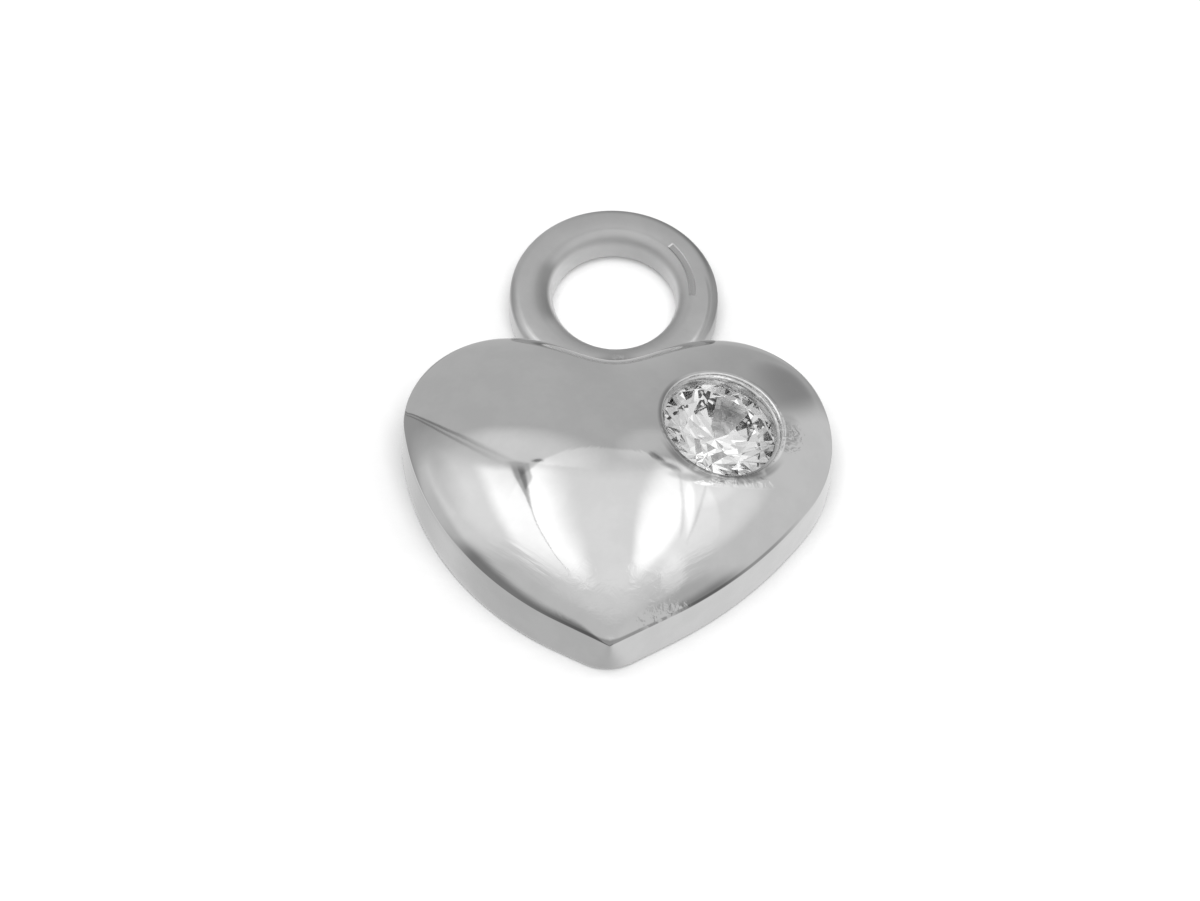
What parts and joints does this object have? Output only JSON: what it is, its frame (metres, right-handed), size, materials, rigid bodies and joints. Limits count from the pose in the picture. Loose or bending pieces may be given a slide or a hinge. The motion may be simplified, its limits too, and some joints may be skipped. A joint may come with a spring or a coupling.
{
  "type": "earring charm",
  "caption": "Puffed heart charm in polished silver with a domed front and flat back, a hanging ring cast on at the notch and a clear round stone set flush in one lobe.",
  "frame": {"origin": "on the surface that the charm lies on, under the middle of the whole charm", "axes": "+X to the charm's right seen from the front, +Y from the tip to the hanging ring, +Z out of the domed front"},
  "size_m": [0.008, 0.0102, 0.0022],
  "materials": {
    "silver": "mirror polished silver with fine hand-polishing marks",
    "clear_stone": "clear, cut with polished facets"
  },
  "bodies": {
    "root": {"heart_body": "silver", "stone": "clear_stone"}
  },
  "joints": []
}
